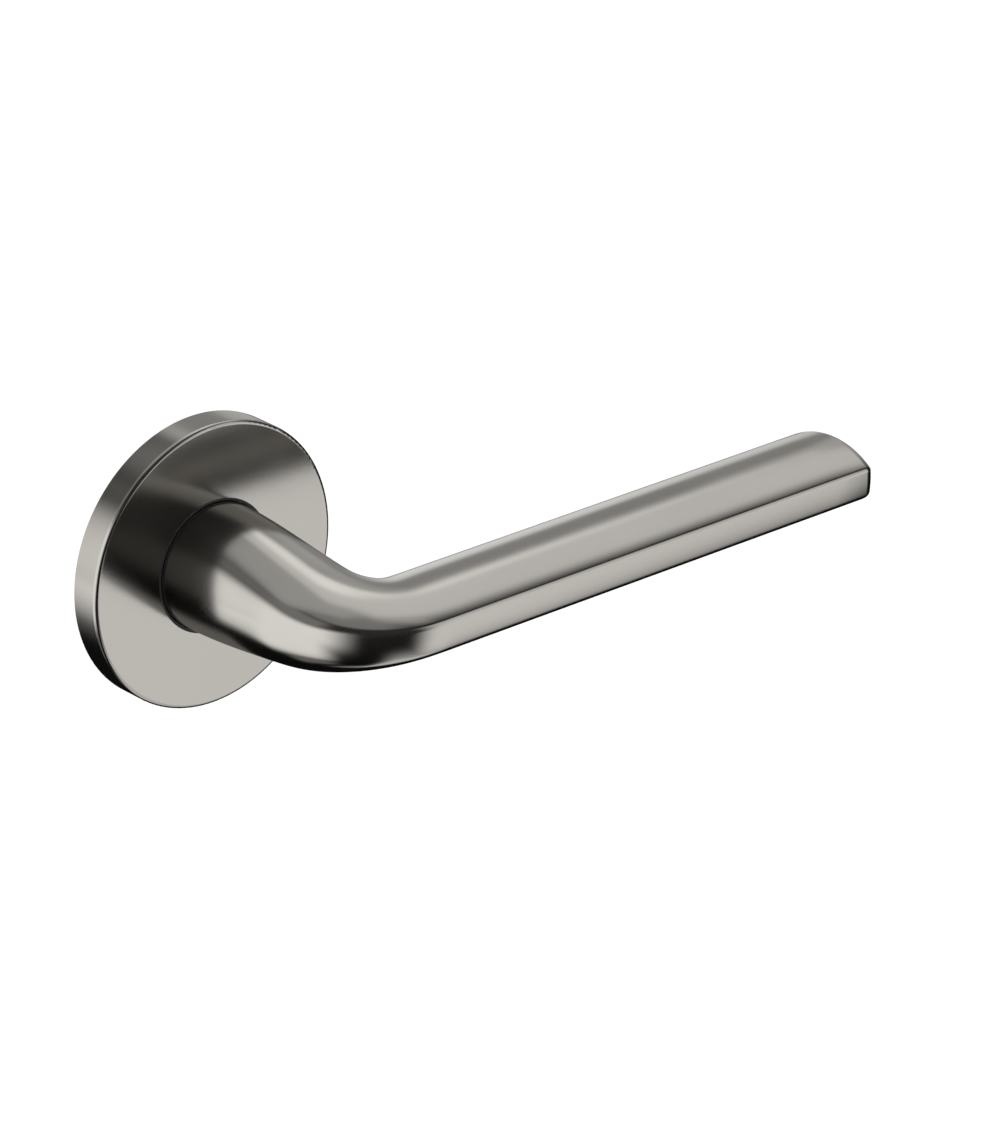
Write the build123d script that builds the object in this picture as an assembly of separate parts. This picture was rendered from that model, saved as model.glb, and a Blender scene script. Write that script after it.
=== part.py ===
from build123d import *
import os
from math import asin, cos, degrees, hypot, pi, radians, sin

# A sprung door lever on a slim round rose, for one side of a door.
# Millimetres. The origin is the centre of the rose on the door's surface. +Z is up,
# the lever points along +X, the user stands on the -Y side and the door is on +Y.

# Rose
ROSE_R = 26.0
ROSE_HEIGHT = 5.7
COVER_WALL = 0.8
COVER_EDGE_R = 0.7
COVER_HOLE_R = 12.2
COVER_NOTCH = (5.0, 1.0)
COVER_NOTCH_ANGLE = -62.0

# Lever
NECK_R = 11.6
NECK_FOOT_Y = -4.25
FRONT_Y = -52.7
BACK_Y = -32.7
OUTER_BEND_R = 20.2
INNER_BEND_R = 3.2
OUTER_BEND_X = -11.25
INNER_BEND_X = 10.4
LEVER_END_X = 113.2
FACET_HALF_HEIGHT = 2.05
FACET_CROWN_ANGLE = 6.0
CORNER_R = 1.35
BROAD_ARC_ANGLE = 35.3
END_FILLET_R = 1.25
END_BLOCK = 6.0
MORPH_POWER = 1.3
NECK_MORPH_SHARE = 0.57

# Journal, spindle and grub screw
JOURNAL_R = 8.0
JOURNAL_END_Y = 2.2
GROOVE_R = 7.4
GROOVE_Y = (0.4, 1.4)
SPINDLE_SIDE = 8.0
SOCKET_SIDE = 8.1
SPINDLE_Y = (-19.0, 18.0)
SOCKET_END_Y = -19.2
GRUB_R = 3.0
GRUB_Y = -12.0
GRUB_Z = (-10.2, -4.02)
GRUB_KEY_ACROSS_FLATS = 3.0
GRUB_KEY_DEPTH = 3.2
THREAD_GAP = 0.02
SPINDLE_CHAMFER = 0.8
SMALL_CHAMFER = 0.4

# Base: steel plate and nylon carrier
PLATE_R = 22.9
PLATE_Y = (-3.5, -2.0)
BUSH_SEAT_R = 9.5
CARRIER_R = 24.8
CARRIER_RIM_IN_R = 23.0
CARRIER_RIM_Y = -4.5
CARRIER_HOLE_R = 14.0
FIXING_R = 19.0
LUG_R = 3.75
LUG_END_Y = 4.0
PILLAR_R = 2.9
PILLAR_NECK_R = 2.45
PILLAR_THREAD_R = 1.65
SPARE_HOLE_R = 2.2
SPARE_SINK_R = 3.7
POCKET_R = (16.2, 22.6)
POCKET_DEPTH = 1.1
POCKET_ANGLES = ((15.0, 43.0), (47.0, 75.0))
SNAP_RING_R = 24.72
SNAP_WIRE_R = 0.45
SNAP_GROOVE_Y = (-2.75, -1.75)
SNAP_GROOVE_R = 24.2
SNAP_GAP_ANGLE = 50.0

# Neck bearing
BUSH_BORE_R = 8.05
BUSH_FLANGE_R = 13.6
BUSH_FLANGE_Y = -4.1
GUIDE_BORE_R = 11.72
GUIDE_FLANGE_R = 13.8
GUIDE_FLANGE_Y = (-4.9, -4.45)
THRUST_WASHER = (8.15, 10.7, 0.5)
DISC_SPRING = (8.2, 10.3, 0.3, 0.3)
CIRCLIP_R = (7.45, 9.3)
CIRCLIP_Y = (0.45, 1.35)
CIRCLIP_GAP_ANGLE = 44.0
CIRCLIP_EAR_R = 1.15

# Spring housing, rotor and stops
HOUSING_R = 13.9
HOUSING_BORE_R = 11.0
HOUSING_FLOOR_Y = -0.8
HOUSING_END_Y = 7.2
HOUSING_COVER_THICK = 1.0
HOUSING_SCREW_CIRCLE_R = 12.45
HOUSING_SCREW_ANGLES = (30.0, 150.0, 270.0)
HOUSING_SCREW_R = 0.78
HOUSING_SCREW_HOLE_R = 0.85
HOUSING_SCREW_HEAD = (1.45, 0.8)
HOUSING_SCREW_HEAD_FILLET = 0.3
HOUSING_SCREW_SLOT = (0.4, 0.35)
HOUSING_SCREW_TIP_Y = -3.35
ROTOR_HUB_R = 6.6
ROTOR_DISC_R = 8.85
ROTOR_DISC_Y = (5.9, 7.0)
ROTOR_FRONT_Y = 2.5
ROTOR_TAIL_R = 7.0
ROTOR_TAIL_Y = 8.3
ROTOR_ARM_R = 10.6
ROTOR_ARM_HALF_ANGLE = 14.0
ROTOR_BUSH_R = (7.05, 7.8)
TRAVEL = 45.0
STOP_CLEARANCE_ANGLE = 1.2
STOP_PIN_R = 0.8
STOP_PIN_CIRCLE_R = 9.9
STOP_PIN_FRONT_Y = 5.75
SPRING_COIL_R = 7.9
SPRING_WIRE_R = 0.5
SPRING_PITCH = 1.05
SPRING_TURNS = 2.25
SPRING_FRONT_Y = 3.0
SPRING_LEG_END_R = 11.8
SPRING_TANG_END_Y = 6.85
SPRING_SLOT = (12.2, 1.3, 2.3)

PARTS = "parts"
DEEP = 60.0


def save(shape, node):
    export_step(shape, f"{PARTS}/{node}.step")


def drum(radius, y_low, y_high):
    """A cylinder on the spindle axis."""
    return Pos(0, (y_low + y_high) / 2, 0) * Rot(90, 0, 0) * Cylinder(radius, y_high - y_low)


def tube(outer_r, inner_r, y_low, y_high):
    return drum(outer_r, y_low, y_high) - drum(inner_r, y_low - 1, y_high + 1)


def around(shape, circle_r, angle):
    """Put a piece on a circle in the rose's plane; the angle is from +X towards +Z."""
    return Pos(circle_r * cos(radians(angle)), 0, circle_r * sin(radians(angle))) * shape


def sector(inner_r, outer_r, y_low, y_high, low_angle, high_angle):
    """A ring segment between two angles from +X towards +Z."""
    reach = 1.5 * outer_r
    corners = [(0, 0)]
    for angle in (low_angle, (low_angle + high_angle) / 2, high_angle):
        corners.append((reach * cos(radians(angle)), reach * sin(radians(angle))))
    outline = make_face(Polyline(*corners, close=True))
    wedge = Pos(0, y_high, 0) * extrude(Plane.XZ * outline, y_high - y_low)
    return tube(outer_r, inner_r, y_low, y_high) & wedge


def lever_guides(station):
    """Outer and inner points of the lever in its middle plane.

    Stations 0 to 1 run up the neck, 1 to 2 round the bend and 2 to 3 along the grip.
    """
    points = []
    for x_foot, x_bend, y_grip, bend_r in (
        (-NECK_R, OUTER_BEND_X, FRONT_Y, OUTER_BEND_R),
        (NECK_R, INNER_BEND_X, BACK_Y, INNER_BEND_R),
    ):
        y_bend = y_grip + bend_r
        if station <= 1:
            ease = station * station * (3 - 2 * station)
            x_neck = x_foot + (x_bend - x_foot) * ease
            points.append((x_neck, NECK_FOOT_Y + (y_bend - NECK_FOOT_Y) * station))
        elif station <= 2:
            turn = (station - 1) * pi / 2
            points.append((x_bend + bend_r * (1 - cos(turn)), y_bend - bend_r * sin(turn)))
        else:
            x_start = x_bend + bend_r
            x_end = LEVER_END_X - END_BLOCK
            points.append((x_start + (x_end - x_start) * (station - 2), y_grip))
    return points


def lever_morph(station):
    """0 where the lever is a round neck, 1 where it is the full grip section."""
    along = NECK_MORPH_SHARE * min(station, 1) + (1 - NECK_MORPH_SHARE) * min(max(station - 1, 0), 1)
    eased = along**MORPH_POWER
    return eased * eased * (3 - 2 * eased)


def lever_section(station):
    """Closed outline: broad arcs above and below, small corners and narrow crowned facets."""
    (ox, oy), (ix, iy) = lever_guides(station)
    span = hypot(ox - ix, oy - iy)
    half = span / 2
    morph = lever_morph(station)
    crown = radians(FACET_CROWN_ANGLE)
    broad = radians(BROAD_ARC_ANGLE)
    facet = half * sin(crown) * (1 - morph) + FACET_HALF_HEIGHT * morph
    corner_r = half + (CORNER_R - half) * morph
    facet_r = facet / sin(crown)
    facet_x = half - facet_r + facet_r * cos(crown)
    centre = (facet_x - corner_r * cos(crown), facet - corner_r * sin(crown))
    arc_end = (centre[0] + corner_r * sin(broad), centre[1] + corner_r * cos(broad))
    broad_r = arc_end[0] / sin(broad)
    top = arc_end[1] + broad_r * (1 - cos(broad))
    mid_turn = (broad + pi / 2 - crown) / 2
    corner_mid = (centre[0] + corner_r * sin(mid_turn), centre[1] + corner_r * cos(mid_turn))
    frame = Plane(
        origin=((ox + ix) / 2, (oy + iy) / 2, 0),
        x_dir=((ox - ix) / span, (oy - iy) / span, 0),
        z_dir=((oy - iy) / span, -(ox - ix) / span, 0),
    )
    right = [
        ThreePointArc(arc_end, corner_mid, (facet_x, facet)),
        ThreePointArc((facet_x, facet), (half, 0), (facet_x, -facet)),
        ThreePointArc((facet_x, -facet), (corner_mid[0], -corner_mid[1]), (arc_end[0], -arc_end[1])),
    ]
    under = ThreePointArc((arc_end[0], -arc_end[1]), (0, -top), (-arc_end[0], -arc_end[1]))
    left = [
        ThreePointArc((-arc_end[0], -arc_end[1]), (-corner_mid[0], -corner_mid[1]), (-facet_x, -facet)),
        ThreePointArc((-facet_x, -facet), (-half, 0), (-facet_x, facet)),
        ThreePointArc((-facet_x, facet), (-corner_mid[0], corner_mid[1]), (-arc_end[0], arc_end[1])),
    ]
    over = ThreePointArc((-arc_end[0], arc_end[1]), (0, top), arc_end)
    return frame * make_face(Wire([*right, under, *left, over]))


def make_lever():
    neck_and_bend = loft([lever_section(step / 6) for step in range(13)])
    grip = loft([lever_section(2), lever_section(3)], ruled=True)
    end = extrude(lever_section(3), -END_BLOCK)
    end = fillet(end.faces().sort_by(Axis.X)[-1].edges(), END_FILLET_R)
    body = neck_and_bend + grip + end
    journal = drum(JOURNAL_R, NECK_FOOT_Y - 1, JOURNAL_END_Y)
    journal = chamfer(journal.edges().sort_by(Axis.Y)[-1], SMALL_CHAMFER)
    journal -= tube(JOURNAL_R + 1, GROOVE_R, *GROOVE_Y)
    body += journal
    socket_length = JOURNAL_END_Y - SOCKET_END_Y
    socket = Box(SOCKET_SIDE, socket_length + 1, SOCKET_SIDE)
    body -= Pos(0, SOCKET_END_Y + (socket_length + 1) / 2, 0) * socket
    grub_hole = Cylinder(GRUB_R + THREAD_GAP, NECK_R, align=(Align.CENTER, Align.CENTER, Align.MAX))
    body -= Pos(0, GRUB_Y, 0) * grub_hole
    return body


def make_grub_screw():
    length = GRUB_Z[1] - GRUB_Z[0]
    screw = Cylinder(GRUB_R, length)
    screw = chamfer(screw.edges().filter_by(GeomType.CIRCLE), SMALL_CHAMFER)
    key = extrude(RegularPolygon(GRUB_KEY_ACROSS_FLATS / 2, 6, major_radius=False), GRUB_KEY_DEPTH)
    screw -= Pos(0, 0, -length / 2) * key
    return Pos(0, GRUB_Y, (GRUB_Z[0] + GRUB_Z[1]) / 2) * screw


def make_spindle():
    length = SPINDLE_Y[1] - SPINDLE_Y[0]
    bar = Box(SPINDLE_SIDE, length, SPINDLE_SIDE)
    bar = chamfer(bar.faces().sort_by(Axis.Y)[-1].edges(), SPINDLE_CHAMFER)
    return Pos(0, sum(SPINDLE_Y) / 2, 0) * bar


def make_rose_cover():
    cap = drum(ROSE_R, -ROSE_HEIGHT, 0)
    cap = fillet(cap.edges().filter_by(GeomType.CIRCLE).sort_by(Axis.Y)[0], COVER_EDGE_R)
    cap -= drum(ROSE_R - COVER_WALL, -ROSE_HEIGHT + COVER_WALL, 1)
    cap -= drum(COVER_HOLE_R, -DEEP, DEEP)
    width, depth = COVER_NOTCH
    notch = Pos(ROSE_R, 0, 0) * Box(4 * COVER_WALL, 2 * depth, width)
    notch = Rot(0, -COVER_NOTCH_ANGLE, 0) * notch
    return cap - notch


def make_neck_guide_ring():
    ring = drum(COVER_HOLE_R - 0.02, -ROSE_HEIGHT + 0.1, GUIDE_FLANGE_Y[1])
    ring += drum(GUIDE_FLANGE_R, *GUIDE_FLANGE_Y)
    return ring - drum(GUIDE_BORE_R, -DEEP, DEEP)


def fixing_pair(shape):
    """The same piece above and below the spindle, at the two fixing centres."""
    return around(shape, FIXING_R, 90) + around(shape, FIXING_R, -90)


def spare_pair(shape):
    """The same piece on both sides of the spindle, at the two spare screw centres."""
    return around(shape, FIXING_R, 0) + around(shape, FIXING_R, 180)


def on_screw_circle(shape):
    pieces = [around(shape, HOUSING_SCREW_CIRCLE_R, angle) for angle in HOUSING_SCREW_ANGLES]
    return Compound(children=pieces)


def make_support_plate():
    plate = tube(PLATE_R, BUSH_SEAT_R, *PLATE_Y)
    plate -= fixing_pair(drum(PILLAR_NECK_R + THREAD_GAP, -DEEP, DEEP))
    sink_depth = SPARE_SINK_R - SPARE_HOLE_R
    sink = Rot(90, 0, 0) * Cone(SPARE_HOLE_R, SPARE_SINK_R, sink_depth)
    sink = Pos(0, PLATE_Y[0] + sink_depth / 2, 0) * sink
    plate -= spare_pair(drum(SPARE_HOLE_R, -DEEP, DEEP) + sink)
    return plate - on_screw_circle(drum(HOUSING_SCREW_R + THREAD_GAP, -DEEP, DEEP))


def make_nylon_carrier():
    carrier = drum(CARRIER_R, CARRIER_RIM_Y, 0)
    carrier -= drum(CARRIER_RIM_IN_R, CARRIER_RIM_Y - 1, PLATE_Y[1])
    carrier -= drum(CARRIER_HOLE_R, -DEEP, DEEP)
    carrier -= tube(CARRIER_R + 1, SNAP_GROOVE_R, *SNAP_GROOVE_Y)
    lug = drum(LUG_R, PLATE_Y[1], LUG_END_Y)
    lug = chamfer(lug.edges().sort_by(Axis.Y)[-1], SMALL_CHAMFER)
    carrier += fixing_pair(lug)
    carrier -= fixing_pair(drum(PILLAR_R + THREAD_GAP, -DEEP, DEEP))
    for quarter in range(4):
        for low, high in POCKET_ANGLES:
            low_angle = 90 * quarter + low
            carrier -= sector(*POCKET_R, -POCKET_DEPTH, 1, low_angle, low_angle + high - low)
    return carrier - spare_pair(drum(SPARE_HOLE_R, -DEEP, DEEP))


def make_threaded_pillars():
    pillar = drum(PILLAR_R, PLATE_Y[1], LUG_END_Y) + drum(PILLAR_NECK_R, *PLATE_Y)
    pillar -= drum(PILLAR_THREAD_R, -DEEP, DEEP)
    return Compound(children=[around(pillar, FIXING_R, 90), around(pillar, FIXING_R, -90)])


def make_cover_snap_ring():
    ring = Rot(90, 0, 0) * Torus(SNAP_RING_R, SNAP_WIRE_R)
    ring = Pos(0, sum(SNAP_GROOVE_Y) / 2, 0) * ring
    low = -90 - SNAP_GAP_ANGLE / 2
    opening = sector(SNAP_GROOVE_R - 1, ROSE_R, *(-4, 0), low, low + SNAP_GAP_ANGLE)
    return ring - opening


def make_neck_bush():
    bush = drum(BUSH_SEAT_R - THREAD_GAP, BUSH_FLANGE_Y, HOUSING_FLOOR_Y)
    bush += drum(BUSH_FLANGE_R, BUSH_FLANGE_Y, PLATE_Y[0])
    return bush - drum(BUSH_BORE_R, -DEEP, DEEP)


def make_thrust_washer():
    inner, outer, thick = THRUST_WASHER
    return tube(outer, inner, HOUSING_FLOOR_Y, HOUSING_FLOOR_Y + thick)


def make_disc_spring_washer():
    """A dished washer between the thrust washer and the circlip."""
    inner, outer, thick, dish = DISC_SPRING
    y_low = HOUSING_FLOOR_Y + THRUST_WASHER[2] + 0.1
    outline = Polyline(
        (inner, y_low + dish),
        (outer, y_low),
        (outer, y_low + thick),
        (inner, y_low + dish + thick),
        close=True,
    )
    return revolve(make_face(outline), Axis.Y)


def make_circlip():
    low = -90 - CIRCLIP_GAP_ANGLE / 2
    ring = tube(CIRCLIP_R[1], CIRCLIP_R[0], *CIRCLIP_Y)
    ring -= sector(CIRCLIP_R[0] - 1, CIRCLIP_R[1] + 1, *(-1, 3), low, low + CIRCLIP_GAP_ANGLE)
    for angle in (low, low + CIRCLIP_GAP_ANGLE):
        ring += around(drum(CIRCLIP_EAR_R, *CIRCLIP_Y), CIRCLIP_R[1], angle)
    ring -= drum(CIRCLIP_R[0], -3, 3)
    for angle in (low, low + CIRCLIP_GAP_ANGLE):
        ring -= around(drum(CIRCLIP_EAR_R / 2, -3, 3), CIRCLIP_R[1], angle)
    return ring


def make_spring_housing():
    cup = drum(HOUSING_R, PLATE_Y[1], HOUSING_END_Y)
    cup -= drum(HOUSING_BORE_R, HOUSING_FLOOR_Y, HOUSING_END_Y + 1)
    cup -= drum(BUSH_SEAT_R, -DEEP, DEEP)
    cup -= on_screw_circle(drum(HOUSING_SCREW_HOLE_R, -DEEP, DEEP))
    slot_end_r, slot_width, slot_y = SPRING_SLOT
    slot = Box(slot_end_r - 9, HOUSING_END_Y + 1 - slot_y, slot_width)
    return cup - Pos((slot_end_r + 9) / 2, (HOUSING_END_Y + 1 + slot_y) / 2, 0) * slot


def stop_pin_angles():
    """The rotor's arm points along -X at rest and swings up by the travel."""
    pin = degrees(asin(STOP_PIN_R / STOP_PIN_CIRCLE_R)) + STOP_CLEARANCE_ANGLE
    return 180 + ROTOR_ARM_HALF_ANGLE + pin, 180 - TRAVEL - ROTOR_ARM_HALF_ANGLE - pin


def make_housing_cover():
    plate = tube(HOUSING_R, ROTOR_BUSH_R[1], HOUSING_END_Y, HOUSING_END_Y + HOUSING_COVER_THICK)
    plate -= on_screw_circle(drum(HOUSING_SCREW_HOLE_R, -DEEP, DEEP))
    for angle in stop_pin_angles():
        plate -= around(drum(STOP_PIN_R, -DEEP, DEEP), STOP_PIN_CIRCLE_R, angle)
    return plate


def make_housing_screws():
    top = HOUSING_END_Y + HOUSING_COVER_THICK
    head_r, head_height = HOUSING_SCREW_HEAD
    head = drum(head_r, top, top + head_height)
    head = fillet(head.edges().filter_by(GeomType.CIRCLE).sort_by(Axis.Y)[-1], HOUSING_SCREW_HEAD_FILLET)
    screw = drum(HOUSING_SCREW_R, HOUSING_SCREW_TIP_Y, top) + head
    slot_width, slot_depth = HOUSING_SCREW_SLOT
    screw -= Pos(0, top + head_height, 0) * Box(slot_width, 2 * slot_depth, 2 * head_r)
    return on_screw_circle(screw)


def make_stop_pins():
    top = HOUSING_END_Y + HOUSING_COVER_THICK
    pin = drum(STOP_PIN_R, STOP_PIN_FRONT_Y, top)
    return Compound(children=[around(pin, STOP_PIN_CIRCLE_R, angle) for angle in stop_pin_angles()])


def make_rotor_bush():
    return tube(ROTOR_BUSH_R[1], ROTOR_BUSH_R[0], HOUSING_END_Y, HOUSING_END_Y + HOUSING_COVER_THICK)


def make_rotor():
    low = 180 - ROTOR_ARM_HALF_ANGLE
    rotor = drum(ROTOR_HUB_R, ROTOR_FRONT_Y, ROTOR_DISC_Y[1])
    rotor += drum(ROTOR_DISC_R, *ROTOR_DISC_Y)
    rotor += sector(ROTOR_HUB_R, ROTOR_ARM_R, *ROTOR_DISC_Y, low, low + 2 * ROTOR_ARM_HALF_ANGLE)
    rotor += drum(ROTOR_TAIL_R, ROTOR_DISC_Y[1], ROTOR_TAIL_Y)
    rotor -= Box(SOCKET_SIDE, DEEP, SOCKET_SIDE)
    return rotor - around(drum(SPRING_WIRE_R + 0.1, -DEEP, DEEP), SPRING_COIL_R, spring_end_angle())


def spring_end_angle():
    return 360 * SPRING_TURNS


def make_return_spring():
    """Torsion spring: a radial leg held by the housing and an axial tang in the rotor."""
    height = SPRING_PITCH * SPRING_TURNS
    path = Helix(SPRING_PITCH, height, SPRING_COIL_R)
    section = Plane(origin=path @ 0, z_dir=path % 0) * Circle(SPRING_WIRE_R)
    coil = sweep(section, path)
    coil = Rot(-90, 0, 0) * coil
    coil = Pos(0, SPRING_FRONT_Y, 0) * mirror(coil, Plane.XY)
    leg_length = SPRING_LEG_END_R - SPRING_COIL_R
    leg = Pos((SPRING_LEG_END_R + SPRING_COIL_R) / 2, SPRING_FRONT_Y, 0)
    leg *= Rot(0, 90, 0) * Cylinder(SPRING_WIRE_R, leg_length)
    elbow = Pos(SPRING_COIL_R, SPRING_FRONT_Y, 0) * Sphere(SPRING_WIRE_R)
    tang = drum(SPRING_WIRE_R, SPRING_FRONT_Y + height, SPRING_TANG_END_Y)
    tang += Pos(0, SPRING_FRONT_Y + height, 0) * Sphere(SPRING_WIRE_R)
    return coil + leg + elbow + around(tang, SPRING_COIL_R, spring_end_angle())


MAKERS = {
    "lever": make_lever,
    "grub_screw": make_grub_screw,
    "spindle": make_spindle,
    "rose_cover": make_rose_cover,
    "neck_guide_ring": make_neck_guide_ring,
    "support_plate": make_support_plate,
    "nylon_carrier": make_nylon_carrier,
    "threaded_pillars": make_threaded_pillars,
    "cover_snap_ring": make_cover_snap_ring,
    "neck_bush": make_neck_bush,
    "thrust_washer": make_thrust_washer,
    "disc_spring_washer": make_disc_spring_washer,
    "circlip": make_circlip,
    "spring_housing": make_spring_housing,
    "return_spring": make_return_spring,
    "rotor": make_rotor,
    "stop_pins": make_stop_pins,
    "rotor_bush": make_rotor_bush,
    "housing_cover": make_housing_cover,
    "housing_screws": make_housing_screws,
}

os.makedirs(PARTS, exist_ok=True)
for node, maker in MAKERS.items():
    save(maker(), node)
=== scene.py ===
import bmesh
import bpy
from math import atan2, cos, degrees, hypot, pi, radians, sin
from mathutils import Matrix, Vector


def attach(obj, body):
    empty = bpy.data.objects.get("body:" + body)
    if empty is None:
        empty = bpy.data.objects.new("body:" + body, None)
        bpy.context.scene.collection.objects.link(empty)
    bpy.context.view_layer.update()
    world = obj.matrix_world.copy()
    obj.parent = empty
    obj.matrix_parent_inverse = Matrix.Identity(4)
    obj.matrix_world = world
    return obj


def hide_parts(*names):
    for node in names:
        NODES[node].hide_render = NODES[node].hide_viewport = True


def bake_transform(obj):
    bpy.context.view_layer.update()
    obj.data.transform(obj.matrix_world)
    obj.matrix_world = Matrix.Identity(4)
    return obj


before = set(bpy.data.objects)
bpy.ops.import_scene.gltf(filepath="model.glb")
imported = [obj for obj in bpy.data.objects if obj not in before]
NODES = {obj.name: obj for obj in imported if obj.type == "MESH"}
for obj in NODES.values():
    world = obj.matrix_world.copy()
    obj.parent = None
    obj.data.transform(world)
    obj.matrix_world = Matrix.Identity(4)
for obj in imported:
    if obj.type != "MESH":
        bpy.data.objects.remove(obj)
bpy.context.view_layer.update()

MM = 0.001
LEVER = "lever_assembly"    # the body that turns


# Camera: a long lens in front of the door, above the handle and to its left


CAMERA_AZIMUTH = radians(-42.74)
CAMERA_ELEVATION = radians(24.16)
CAMERA_ROLL = radians(1.14)
CAMERA_PLACE = Vector((-0.58537, -0.71091, 0.41219))
CAMERA_LENS = 188.2
SENSOR_WIDTH = 36
NEAREST_SEEN = 0.01


def make_camera():
    data = bpy.data.cameras.new("camera")
    data.lens = CAMERA_LENS
    data.sensor_width = SENSOR_WIDTH
    data.clip_start = NEAREST_SEEN
    camera = bpy.data.objects.new("camera", data)
    bpy.context.scene.collection.objects.link(camera)
    turn = Matrix.Rotation(CAMERA_AZIMUTH, 4, "Z") @ Matrix.Rotation(pi / 2 - CAMERA_ELEVATION, 4, "X")
    turn = turn @ Matrix.Rotation(CAMERA_ROLL, 4, "Z")
    camera.matrix_world = Matrix.Translation(CAMERA_PLACE) @ turn
    bpy.context.scene.camera = camera


# Studio: softboxes in the world around the object, by direction, seen only in reflections


class Nodes:
    """Small helper that adds nodes to a tree and links them."""

    def __init__(self, tree):
        self.tree = tree
        tree.nodes.clear()

    def add(self, kind, **settings):
        node = self.tree.nodes.new(kind)
        for name, value in settings.items():
            setattr(node, name, value)
        return node

    def link(self, source, target):
        self.tree.links.new(source, target)

    def math(self, operation, a, b=None):
        node = self.add("ShaderNodeMath", operation=operation)
        for socket, value in zip(node.inputs, (a, b)):
            if value is None:
                continue
            if isinstance(value, (int, float)):
                socket.default_value = value
            else:
                self.link(value, socket)
        return node.outputs[0]

    def noise(self, place, scale, detail):
        node = self.add("ShaderNodeTexNoise")
        node.inputs["Scale"].default_value = scale
        node.inputs["Detail"].default_value = detail
        self.link(place, node.inputs["Vector"])
        return node.outputs["Fac"]

    def smooth(self, value, low, high, out_low=0.0, out_high=1.0):
        node = self.add("ShaderNodeMapRange", interpolation_type="SMOOTHSTEP")
        self.link(value, node.inputs["Value"])
        node.inputs["From Min"].default_value = low
        node.inputs["From Max"].default_value = high
        node.inputs["To Min"].default_value = out_low
        node.inputs["To Max"].default_value = out_high
        return node.outputs["Result"]


# A panel is a soft-edged patch of the sky: its side, bearing range, height range, the half width
# of the soft edge at each of those four limits, and its brightness. All angles are in degrees.
# A "front" bearing is 0 at -Y and 90 at +X. A "back" bearing is 0 at +Y and 90 at +X.
# Where panels overlap, the brightest one counts.
PANELS = (
    # large softbox on the left, and faint spill below and above it
    ("front", (-140, -57), (-24, 29), (9, 22, 9, 10), 1.42),
    ("front", (-144, -70), (-39, -10), (9, 15, 9, 8), 1.42),
    ("front", (-125, -70), (-62, -36), (12, 12, 6, 6), 0.22),
    ("front", (-150, -75), (33, 62), (14, 12, 6, 10), 0.28),
    # tall softbox at the front right, weaker at its top
    ("front", (22, 50), (-37, -5), (12, 9, 9, 8), 1.14),
    ("front", (26, 57), (-10, 16), (10, 6, 8, 8), 1.14),
    ("front", (27, 57), (10, 37), (10, 5, 6, 5), 0.85),
    # light off the floor
    ("front", (-8, 52), (-89, -34), (12, 10, 2, 9), 0.90),
    ("front", (-100, 20), (-91, -75), (30, 30, 1, 6), 0.38),
    # level softbox at the back right
    ("back", (18, 46), (-14, 12), (8, 9, 8, 7), 1.06),
    # high softbox at the right, with a weaker front end and a bright core
    ("back", (22, 99), (35, 78), (9, 10, 6, 10), 0.95),
    ("back", (90, 114), (55, 78), (10, 8, 4, 8), 0.60),
    ("back", (34, 60), (35, 60), (10, 9, 6, 10), 1.45),
    # fill between the high and the level softbox
    ("back", (47, 80), (8, 38), (6, 12, 9, 6), 0.62),
    ("back", (18, 60), (-8, 40), (10, 10, 8, 8), 0.36),
    # softbox straight behind
    ("back", (-26, 17), (-32, 26), (8, 8, 10, 8), 0.90),
    # glow overhead, stronger at the back, and a weak ceiling all round
    ("back", (-50, 95), (46, 91), (22, 20, 9, 1), 0.56),
    ("back", (-220, 220), (66, 91), (1, 1, 8, 1), 0.30),
)
DARKNESS = 0.006            # brightness between the panels
SECOND_REFLECTION = 0.35    # how much of the panels is left when metal is seen in metal
PLAIN_LIGHT = 1.4           # the even white light on dull surfaces and behind the object


def panel_light(nodes, front, back, height):
    """The brightness of the brightest panel in each direction."""
    total = None
    for side, bearings, heights, softness, strength in PANELS:
        bearing = front if side == "front" else back
        limits = ((bearing, bearings, softness[:2]), (height, heights, softness[2:]))
        light = strength
        for angle, (low, high), (soft_low, soft_high) in limits:
            above = nodes.smooth(angle, low - soft_low, low + soft_low)
            below = nodes.smooth(angle, high - soft_high, high + soft_high, 1.0, 0.0)
            light = nodes.math("MULTIPLY", nodes.math("MULTIPLY", above, below), light)
        total = light if total is None else nodes.math("MAXIMUM", total, light)
    return nodes.math("ADD", total, DARKNESS)


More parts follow.
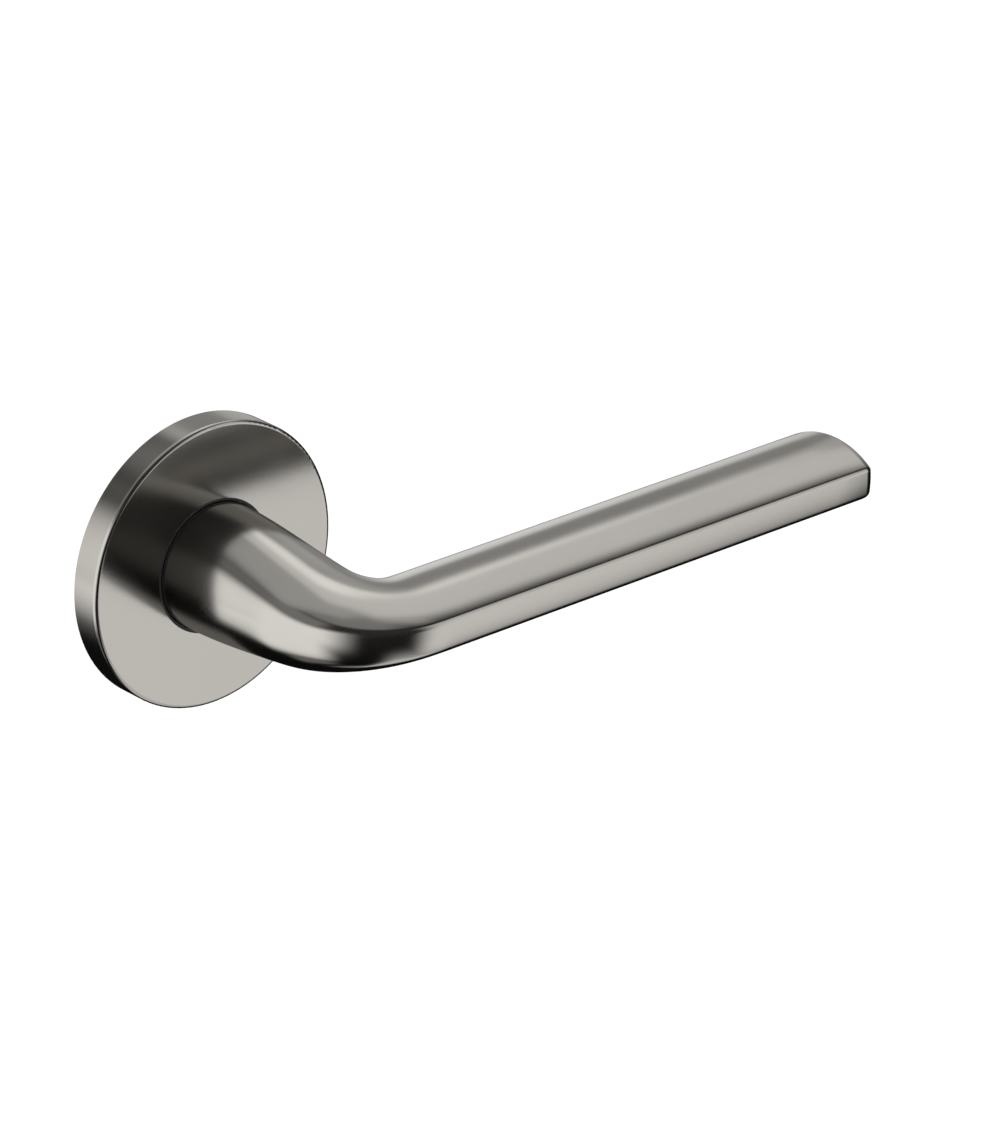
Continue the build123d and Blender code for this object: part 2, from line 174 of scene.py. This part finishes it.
def make_studio():
    world = bpy.data.worlds.new("studio")
    bpy.context.scene.world = world
    world.use_nodes = True
    nodes = Nodes(world.node_tree)
    direction = nodes.add("ShaderNodeTexCoord").outputs["Generated"]
    split = nodes.add("ShaderNodeSeparateXYZ")
    nodes.link(direction, split.inputs[0])
    x, y, z = split.outputs
    to_degrees = degrees(1)
    height = nodes.math("MULTIPLY", nodes.math("ARCSINE", z), to_degrees)
    front = nodes.math("MULTIPLY", nodes.math("ARCTAN2", x, nodes.math("MULTIPLY", y, -1.0)), to_degrees)
    back = nodes.math("MULTIPLY", nodes.math("ARCTAN2", x, y), to_degrees)
    path = nodes.add("ShaderNodeLightPath")
    shade = nodes.smooth(path.outputs["Glossy Depth"], 1, 2, 1.0, SECOND_REFLECTION)
    light = nodes.math("MULTIPLY", panel_light(nodes, front, back, height), shade)
    softboxes = nodes.add("ShaderNodeBackground")
    nodes.link(light, softboxes.inputs["Strength"])
    plain = nodes.add("ShaderNodeBackground")
    plain.inputs["Strength"].default_value = PLAIN_LIGHT
    mix = nodes.add("ShaderNodeMixShader")
    nodes.link(path.outputs["Is Glossy Ray"], mix.inputs[0])
    nodes.link(plain.outputs[0], mix.inputs[1])
    nodes.link(softboxes.outputs[0], mix.inputs[2])
    output = nodes.add("ShaderNodeOutputWorld")
    nodes.link(mix.outputs[0], output.inputs[0])
    bpy.context.scene.view_settings.view_transform = "Standard"


FLOOR_HEIGHT = -1.2
FLOOR_REACH = 12.0
FLOOR_COLOUR = (0.95, 0.95, 0.95)


def make_floor():
    """A plain pale sheet, far enough below the object for a camera to look up at it."""
    mesh = bpy.data.meshes.new("floor")
    corners = [(-FLOOR_REACH, -FLOOR_REACH, FLOOR_HEIGHT), (FLOOR_REACH, -FLOOR_REACH, FLOOR_HEIGHT)]
    corners += [(FLOOR_REACH, FLOOR_REACH, FLOOR_HEIGHT), (-FLOOR_REACH, FLOOR_REACH, FLOOR_HEIGHT)]
    mesh.from_pydata(corners, [], [(0, 1, 2, 3)])
    floor = bpy.data.objects.new("floor", mesh)
    bpy.context.scene.collection.objects.link(floor)
    floor.visible_glossy = False
    material = bpy.data.materials.new("floor_paper")
    material.use_nodes = True
    nodes = Nodes(material.node_tree)
    shader = nodes.add("ShaderNodeBsdfDiffuse")
    shader.inputs["Color"].default_value = (*FLOOR_COLOUR, 1)
    output = nodes.add("ShaderNodeOutputMaterial")
    nodes.link(shader.outputs[0], output.inputs[0])
    mesh.materials.append(material)


# Materials


# Noise below the low limit shows a surface's first colour only, and above the high one its second
PATCH_LOW = 0.3
PATCH_HIGH = 0.7
PATCH_DETAIL = 4
GRAIN_DETAIL = 3


def surface(
    name, colours, roughness, gloss_change, grain_scale, grain_height, metallic=1.0, patch_scale=60
):
    """A surface with fine grain, and with slow changes between two colours and in its roughness.

    The patch scale and grain scale are in cycles a metre, and the grain's height is in metres.
    """
    material = bpy.data.materials.new(name)
    material.use_nodes = True
    nodes = Nodes(material.node_tree)
    place = nodes.add("ShaderNodeTexCoord").outputs["Object"]
    patches = nodes.noise(place, patch_scale, PATCH_DETAIL)
    grain = nodes.noise(place, grain_scale, GRAIN_DETAIL)
    tint = nodes.add("ShaderNodeMix", data_type="RGBA")
    nodes.link(nodes.smooth(patches, PATCH_LOW, PATCH_HIGH), tint.inputs["Factor"])
    for socket, colour in zip(("A", "B"), colours):
        next(i for i in tint.inputs if i.name == socket and i.type == "RGBA").default_value = (*colour, 1)
    bump = nodes.add("ShaderNodeBump")
    bump.inputs["Distance"].default_value = grain_height
    nodes.link(grain, bump.inputs["Height"])
    shader = nodes.add("ShaderNodeBsdfPrincipled")
    shader.inputs["Metallic"].default_value = metallic
    nodes.link(next(o for o in tint.outputs if o.type == "RGBA"), shader.inputs["Base Color"])
    smoothest, roughest = roughness - gloss_change, roughness + gloss_change
    gloss = nodes.smooth(patches, PATCH_LOW, PATCH_HIGH, smoothest, roughest)
    nodes.link(gloss, shader.inputs["Roughness"])
    nodes.link(bump.outputs[0], shader.inputs["Normal"])
    output = nodes.add("ShaderNodeOutputMaterial")
    nodes.link(shader.outputs[0], output.inputs[0])
    return material


def use(material, *names):
    """Give CAD nodes a material."""
    for name in names:
        node = NODES[name]
        node.data.materials.clear()
        node.data.materials.append(material)


SATIN_NICKEL = surface(
    "satin_nickel",
    colours=((0.566, 0.545, 0.507), (0.584, 0.561, 0.523)),
    roughness=0.17,
    gloss_change=0.012,
    grain_scale=9000,
    grain_height=0.000002,
)
ZINC_PLATE = surface(
    "zinc_plated_steel",
    colours=((0.60, 0.61, 0.64), (0.68, 0.67, 0.62)),
    roughness=0.34,
    gloss_change=0.06,
    grain_scale=5200,
    grain_height=0.000006,
    patch_scale=240,
)
BLACK_OXIDE = surface(
    "black_oxide_steel",
    colours=((0.055, 0.056, 0.062), (0.095, 0.088, 0.082)),
    roughness=0.36,
    gloss_change=0.07,
    grain_scale=6000,
    grain_height=0.000006,
    patch_scale=300,
)
CAST_ZINC = surface(
    "cast_zinc",
    colours=((0.42, 0.43, 0.45), (0.52, 0.53, 0.54)),
    roughness=0.46,
    gloss_change=0.07,
    grain_scale=2600,
    grain_height=0.00002,
    patch_scale=180,
)
BLACK_NYLON = surface(
    "black_nylon",
    colours=((0.020, 0.020, 0.022), (0.030, 0.030, 0.031)),
    roughness=0.50,
    gloss_change=0.06,
    grain_scale=3400,
    grain_height=0.000016,
    metallic=0.0,
    patch_scale=140,
)
PALE_ACETAL = surface(
    "pale_acetal",
    colours=((0.74, 0.72, 0.65), (0.80, 0.79, 0.74)),
    roughness=0.38,
    gloss_change=0.05,
    grain_scale=4200,
    grain_height=0.000008,
    metallic=0.0,
    patch_scale=160,
)


# Mesh building


SHARP_ANGLE = radians(40)


def skin(name, rings, material):
    """A closed mesh through a run of rings, each with the same number of points, in millimetres."""
    count = len(rings[0])
    verts = [Vector(p) * MM for ring in rings for p in ring]
    faces = []
    for row in range(len(rings) - 1):
        for col in range(count):
            step = (col + 1) % count
            low, high = row * count, (row + 1) * count
            faces.append((low + col, low + step, high + step, high + col))
    faces.append(list(reversed(range(count))))
    faces.append(list(range(len(verts) - count, len(verts))))
    mesh = bpy.data.meshes.new(name)
    mesh.from_pydata(verts, [], faces)
    mesh.update()
    work = bmesh.new()
    work.from_mesh(mesh)
    bmesh.ops.recalc_face_normals(work, faces=work.faces)
    work.to_mesh(mesh)
    work.free()
    for face in mesh.polygons:
        face.use_smooth = True
    mesh.set_sharp_from_angle(angle=SHARP_ANGLE)
    mesh.materials.append(material)
    piece = bpy.data.objects.new(name, mesh)
    bpy.context.scene.collection.objects.link(piece)
    return piece


# Lever: sizes are in millimetres. A station is a place along it: 0 at the rose, 1 and 2 at the
# start and end of the bend, and 3 at the lever's end.


NECK_R = 11.6
NECK_FOOT_Y = -4.25
FRONT_Y = -52.7
BACK_Y = -32.7
OUTER_BEND = (-11.25, 20.2)     # x where the bend starts, and its radius
INNER_BEND = (10.4, 3.2)
LEVER_END_X = 113.2
END_FILLET_R = 2.3

FACET_HALF_HEIGHT = 2.05
FACET_CROWN = radians(6)        # how far the facet turns from its middle to its edge
CORNER_R = 1.35
BROAD_ARC = radians(35.3)       # how far the broad top turns from its middle to the corner
TIGHTEST_R = 0.06               # the smallest corner that an inset leaves
MORPH_POWER = 1.3               # above 1, so that the section changes late
NECK_SHARE = 0.57               # how much of the change of section is along the neck

NECK_ROWS = 36
BEND_ROWS = 27
GRIP_START = 0.21               # share of the grip that has the finer rows
GRIP_START_ROWS = 30
GRIP_ROWS = 11
END_ROWS = 10
END_SHARES = (0.94, 0.8, 0.55, 0.3, 0.1)    # sizes of the rings on the end's flat face
EASING_PASSES = 20              # how often the start and end of the bend are smoothed
BROAD_POINTS = 18
CORNER_POINTS = 12
FACET_POINTS = 4

JOURNAL_R = 8.0
JOURNAL_END_Y = 2.2
JOURNAL_CHAMFER = 0.4
GROOVE = (0.4, 1.4, 7.4)        # the circlip groove's two sides in y, and its radius
SOCKET_SIDE = 8.1
SOCKET_END_Y = -19.2
SOCKET_FLOOR_SHARE = 0.5        # size of the inner ring on the socket's floor
GRUB_Y = -12.0
GRUB_HOLE_R = 3.02
GRUB_HOLE_TOP = -0.45 * SOCKET_SIDE
CUTTER_SPARE = 2.0              # how far the cutter stands out of the neck
CUTTER_POINTS = 64


def lever_guides(station):
    """Outer and inner points of the lever in its middle plane, in millimetres."""
    points = []
    outer = (-NECK_R, OUTER_BEND, FRONT_Y)
    inner = (NECK_R, INNER_BEND, BACK_Y)
    for x_foot, (x_bend, bend_r), y_grip in (outer, inner):
        y_bend = y_grip + bend_r
        if station <= 1:
            x_share = station * station * (3 - 2 * station)
            y = NECK_FOOT_Y + (y_bend - NECK_FOOT_Y) * station
            points.append((x_foot + (x_bend - x_foot) * x_share, y))
        elif station <= 2:
            turn = (station - 1) * pi / 2
            points.append((x_bend + bend_r * (1 - cos(turn)), y_bend - bend_r * sin(turn)))
        else:
            x_start = x_bend + bend_r
            x_end = LEVER_END_X - END_FILLET_R
            points.append((x_start + (x_end - x_start) * (station - 2), y_grip))
    return points


def lever_morph(station):
    """0 where the lever is a round neck, 1 where it is the full grip section."""
    along = NECK_SHARE * min(station, 1) + (1 - NECK_SHARE) * min(max(station - 1, 0), 1)
    share = along**MORPH_POWER
    return share * share * (3 - 2 * share)


def section_outline(half, morph, inset=0.0):
    """Outline points of one section, as (outward, up) with outward from the inner to the outer side.

    Half is half the section's width between its facets, and the inset shrinks it evenly.
    """
    facet = half * sin(FACET_CROWN) * (1 - morph) + FACET_HALF_HEIGHT * morph
    corner_r = half + (CORNER_R - half) * morph
    facet_r = facet / sin(FACET_CROWN)
    facet_x = half - facet_r * (1 - cos(FACET_CROWN))
    centre = Vector((facet_x - corner_r * cos(FACET_CROWN), facet - corner_r * sin(FACET_CROWN)))
    arc_end = centre + corner_r * Vector((sin(BROAD_ARC), cos(BROAD_ARC)))
    broad_r = arc_end.x / sin(BROAD_ARC)
    low = arc_end.y - broad_r * cos(BROAD_ARC)
    bisector = (BROAD_ARC + pi / 2 - FACET_CROWN) / 2
    spread = bisector - BROAD_ARC
    small_r = max(corner_r - inset, TIGHTEST_R)
    shift = (inset - corner_r + small_r) / cos(spread)
    centre -= shift * Vector((sin(bisector), cos(bisector)))
    arc_end = centre + small_r * Vector((sin(BROAD_ARC), cos(BROAD_ARC)))
    facet_end = centre + small_r * Vector((cos(FACET_CROWN), sin(FACET_CROWN)))
    broad_turn = atan2(arc_end.x, arc_end.y - low)
    broad_reach = hypot(arc_end.x, arc_end.y - low)
    facet_turn = atan2(facet_end.y, facet_end.x - half + facet_r)
    facet_reach = hypot(facet_end.x - half + facet_r, facet_end.y)
    quarter = []
    for step in range(BROAD_POINTS):
        turn = broad_turn * step / BROAD_POINTS
        quarter.append(Vector((0, low)) + broad_reach * Vector((sin(turn), cos(turn))))
    for step in range(CORNER_POINTS):
        turn = BROAD_ARC + (pi / 2 - FACET_CROWN - BROAD_ARC) * step / CORNER_POINTS
        quarter.append(centre + small_r * Vector((sin(turn), cos(turn))))
    for step in range(FACET_POINTS):
        turn = facet_turn * (1 - step / FACET_POINTS)
        quarter.append(Vector((half - facet_r, 0)) + facet_reach * Vector((cos(turn), sin(turn))))
    quarter.append(Vector((half - facet_r + facet_reach, 0)))
    right = quarter + [Vector((p.x, -p.y)) for p in reversed(quarter[:-1])]
    return right + [Vector((-p.x, p.y)) for p in reversed(right[1:-1])]


def lever_ring(station, inset=0.0, push=0.0):
    """The lever's section at a station, as points in space. The push moves it along +X."""
    outer, inner = [Vector(p) for p in lever_guides(station)]
    across = outer - inner
    half = across.length / 2
    outward = across.normalized()
    middle = (outer + inner) / 2
    ring = []
    for point in section_outline(half, lever_morph(station), inset):
        place = middle + outward * point.x
        ring.append((place.x + push, place.y, point.y))
    return ring


def eased(rings, reach):
    """The first rings of a sweep with the start and end of its bend smoothed along its length."""
    for _ in range(EASING_PASSES):
        before = [[Vector(p) for p in ring] for ring in rings[: reach + 1]]
        for row in range(1, reach):
            trio = zip(before[row - 1], before[row], before[row + 1])
            rings[row] = [tuple((a + 2 * b + c) / 4) for a, b, c in trio]
    return rings


def scaled_ring(ring, share):
    """The same ring drawn in towards its middle."""
    count = len(ring)
    middle = [sum(p[axis] for p in ring) / count for axis in range(3)]
    return [tuple(m + (v - m) * share for v, m in zip(p, middle)) for p in ring]


def round_ring(ring, radius, y):
    """A circle on the spindle axis, with a point in line with each point of the given ring."""
    result = []
    for x, _, z in ring:
        reach = hypot(x, z)
        result.append((x * radius / reach, y, z * radius / reach))
    return result


def square_ring(ring, side, y):
    """A square on the spindle axis, with a point in line with each point of the given ring."""
    result = []
    for x, _, z in ring:
        reach = max(abs(x), abs(z))
        result.append((x * side / 2 / reach, y, z * side / 2 / reach))
    return result


def lever_stations():
    """Where the rows of the sweep are: close together in the bend, and far apart along the grip."""
    stations = [row / NECK_ROWS for row in range(NECK_ROWS + 1)]
    stations += [1 + row / BEND_ROWS for row in range(1, BEND_ROWS + 1)]
    stations += [2 + GRIP_START * row / GRIP_START_ROWS for row in range(1, GRIP_START_ROWS + 1)]
    rest = 1 - GRIP_START
    stations += [2 + GRIP_START + rest * row / GRIP_ROWS for row in range(1, GRIP_ROWS + 1)]
    return stations


def journal_rings():
    """The socket from its floor to its mouth, then the outside of the journal with its groove."""
    foot = lever_ring(0)
    socket_floor = square_ring(foot, SOCKET_SIDE, SOCKET_END_Y)
    groove_low, groove_high, groove_r = GROOVE
    rings = [scaled_ring(socket_floor, SOCKET_FLOOR_SHARE), socket_floor]
    rings.append(square_ring(foot, SOCKET_SIDE, JOURNAL_END_Y))
    for radius, y in (
        (JOURNAL_R - JOURNAL_CHAMFER, JOURNAL_END_Y),
        (JOURNAL_R, JOURNAL_END_Y - JOURNAL_CHAMFER),
        (JOURNAL_R, groove_high),
        (groove_r, groove_high),
        (groove_r, groove_low),
        (JOURNAL_R, groove_low),
        (JOURNAL_R, NECK_FOOT_Y),
    ):
        rings.append(round_ring(foot, radius, y))
    return rings


def end_rings():
    """The rounded edge of the lever's end, and its flat face."""
    rings = []
    for row in range(1, END_ROWS + 1):
        turn = pi / 2 * row / END_ROWS
        rings.append(lever_ring(3, END_FILLET_R * (1 - cos(turn)), END_FILLET_R * sin(turn)))
    return rings + [scaled_ring(rings[-1], share) for share in END_SHARES]


def cut_grub_hole(lever):
    """The grub screw's hole, from the underside of the neck into the square socket."""
    height = NECK_R + CUTTER_SPARE + GRUB_HOLE_TOP
    place = Vector((0, GRUB_Y, GRUB_HOLE_TOP - height / 2)) * MM
    radius = GRUB_HOLE_R * MM
    depth = height * MM
    bpy.ops.mesh.primitive_cylinder_add(vertices=CUTTER_POINTS, radius=radius, depth=depth, location=place)
    cutter = bpy.context.object
    cut = lever.modifiers.new("grub_hole", "BOOLEAN")
    cut.object = cutter
    cut.operation = "DIFFERENCE"
    cut.solver = "EXACT"
    bpy.context.view_layer.objects.active = lever
    bpy.ops.object.modifier_apply(modifier=cut.name)
    bpy.data.objects.remove(cutter)
    lever.data.set_sharp_from_angle(angle=SHARP_ANGLE)


def make_lever():
    """The whole casting as one skin: square socket, journal, neck, bend, grip and rounded end."""
    sweep = [lever_ring(station) for station in lever_stations()]
    rings = journal_rings() + eased(sweep, len(sweep) - GRIP_ROWS) + end_rings()
    lever = skin("lever_casting", rings, SATIN_NICKEL)
    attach(lever, LEVER)
    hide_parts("lever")
    cut_grub_hole(lever)


# Return spring: a leg in the housing's wall, a coil, and a tang in the rotor, in millimetres


SPRING_R = 7.9
SPRING_WIRE_R = 0.5
SPRING_PITCH = 1.05
SPRING_TURNS = 2.25
SPRING_FRONT_Y = 3.0
SPRING_LEG_END_X = 11.8
SPRING_TANG_END_Y = 6.85
SPRING_BEND_R = 0.6
SPRING_BEND_STEPS = 5
SPRING_COIL_STEPS = 90
WIRE_POINTS = 16


def spring_path():
    """The middle line of the wire. Its two bends take up the first and last bit of the coil's turns."""
    corner = SPRING_R + SPRING_BEND_R
    path = [Vector((SPRING_LEG_END_X, SPRING_FRONT_Y, 0)), Vector((corner, SPRING_FRONT_Y, 0))]
    for step in range(1, SPRING_BEND_STEPS):
        turn = pi / 2 * step / SPRING_BEND_STEPS
        x = corner - SPRING_BEND_R * sin(turn)
        path.append(Vector((x, SPRING_FRONT_Y, SPRING_BEND_R * (1 - cos(turn)))))
    first = SPRING_BEND_R / SPRING_R
    last = SPRING_TURNS * 2 * pi - first
    for step in range(SPRING_COIL_STEPS + 1):
        turn = first + (last - first) * step / SPRING_COIL_STEPS
        y = SPRING_FRONT_Y + SPRING_PITCH * turn / (2 * pi)
        path.append(Vector((SPRING_R * cos(turn), y, SPRING_R * sin(turn))))
    coil_end_y = path[-1].y
    for step in range(1, SPRING_BEND_STEPS + 1):
        turn = pi / 2 * step / SPRING_BEND_STEPS
        y = coil_end_y + SPRING_BEND_R * (1 - cos(turn))
        path.append(Vector((SPRING_BEND_R * (1 - sin(turn)), y, SPRING_R)))
    path.append(Vector((0, SPRING_TANG_END_Y, SPRING_R)))
    return path


def wire_rings(path, radius):
    """Rings of a round wire along a path, with no twist between them."""
    rings = []
    side = Vector((0, 1, 0))
    for index, place in enumerate(path):
        heading = path[min(index + 1, len(path) - 1)] - path[max(index - 1, 0)]
        heading.normalize()
        side = (side - heading * side.dot(heading)).normalized()
        other = heading.cross(side)
        ring = []
        for step in range(WIRE_POINTS):
            turn = 2 * pi * step / WIRE_POINTS
            ring.append(tuple(place + radius * (cos(turn) * side + sin(turn) * other)))
        rings.append(ring)
    return rings


def make_spring():
    """One mesh for the whole spring, from the leg to the tang, in place of the CAD part."""
    spring = skin("spring_coil", wire_rings(spring_path(), SPRING_WIRE_R), BLACK_OXIDE)
    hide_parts("return_spring")
    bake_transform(spring)


# Whole scene


make_camera()
make_studio()
make_floor()
use(SATIN_NICKEL, "rose_cover")
use(ZINC_PLATE, "spindle", "support_plate", "threaded_pillars", "thrust_washer", "stop_pins")
use(ZINC_PLATE, "housing_cover", "housing_screws")
use(BLACK_OXIDE, "grub_screw", "cover_snap_ring", "disc_spring_washer", "circlip")
use(CAST_ZINC, "spring_housing", "rotor")
use(BLACK_NYLON, "neck_guide_ring", "nylon_carrier")
use(PALE_ACETAL, "neck_bush", "rotor_bush")
make_lever()
make_spring()
